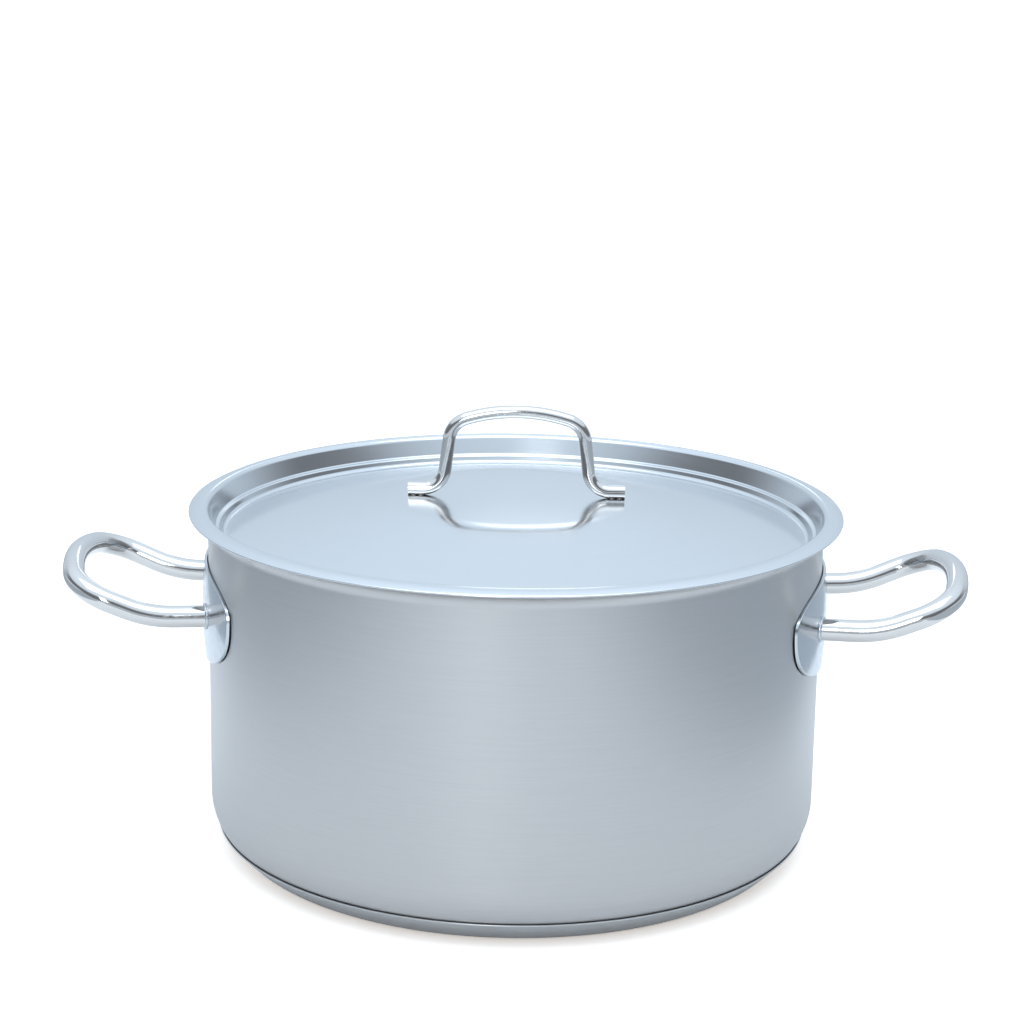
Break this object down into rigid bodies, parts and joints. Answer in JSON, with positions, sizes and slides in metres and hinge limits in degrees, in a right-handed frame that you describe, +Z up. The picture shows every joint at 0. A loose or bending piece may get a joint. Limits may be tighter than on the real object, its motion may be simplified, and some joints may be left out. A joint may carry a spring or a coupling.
{
  "type": "lidded stock pot",
  "caption": "Low round cooking pot with a loose pressed lid, bonded base, two upswept loop handles on oval plates and a bridge handle on the lid.",
  "frame": {"origin": "centre of the pot's underside, on the surface it stands on", "axes": "+Z up along the pot's axis, +X towards the right-hand side handle, -Y towards the viewer"},
  "size_m": [0.4126, 0.2974, 0.2048],
  "materials": {
    "satin_stainless": "fine satin brushed round the wall",
    "satin_lid_stainless": "fine satin, softly polished",
    "polished_stainless": "mirror polished",
    "base_stainless": "satin magnetic stainless, turned underside",
    "base_aluminium": "dull pressed aluminium",
    "weld_metal": "dressed and polished weld"
  },
  "bodies": {
    "pot": {"pot_shell": "satin_stainless", "base_core_disc": "base_aluminium", "base_cap": "base_stainless", "handle_plate_left": "polished_stainless", "handle_plate_right": "polished_stainless", "plate_welds_left": "weld_metal", "plate_welds_right": "weld_metal", "handle_tube_left": "polished_stainless", "handle_tube_right": "polished_stainless", "tube_welds_left": "polished_stainless", "tube_welds_right": "polished_stainless"},
    "lid": {"lid_shell": "satin_lid_stainless", "lid_handle": "polished_stainless", "lid_handle_welds": "weld_metal"}
  },
  "joints": [
    {"name": "lid_lift", "type": "slide", "parent": "pot", "child": "lid", "axis": [0, 0, 1], "range_m": [0, 0.2]}
  ]
}
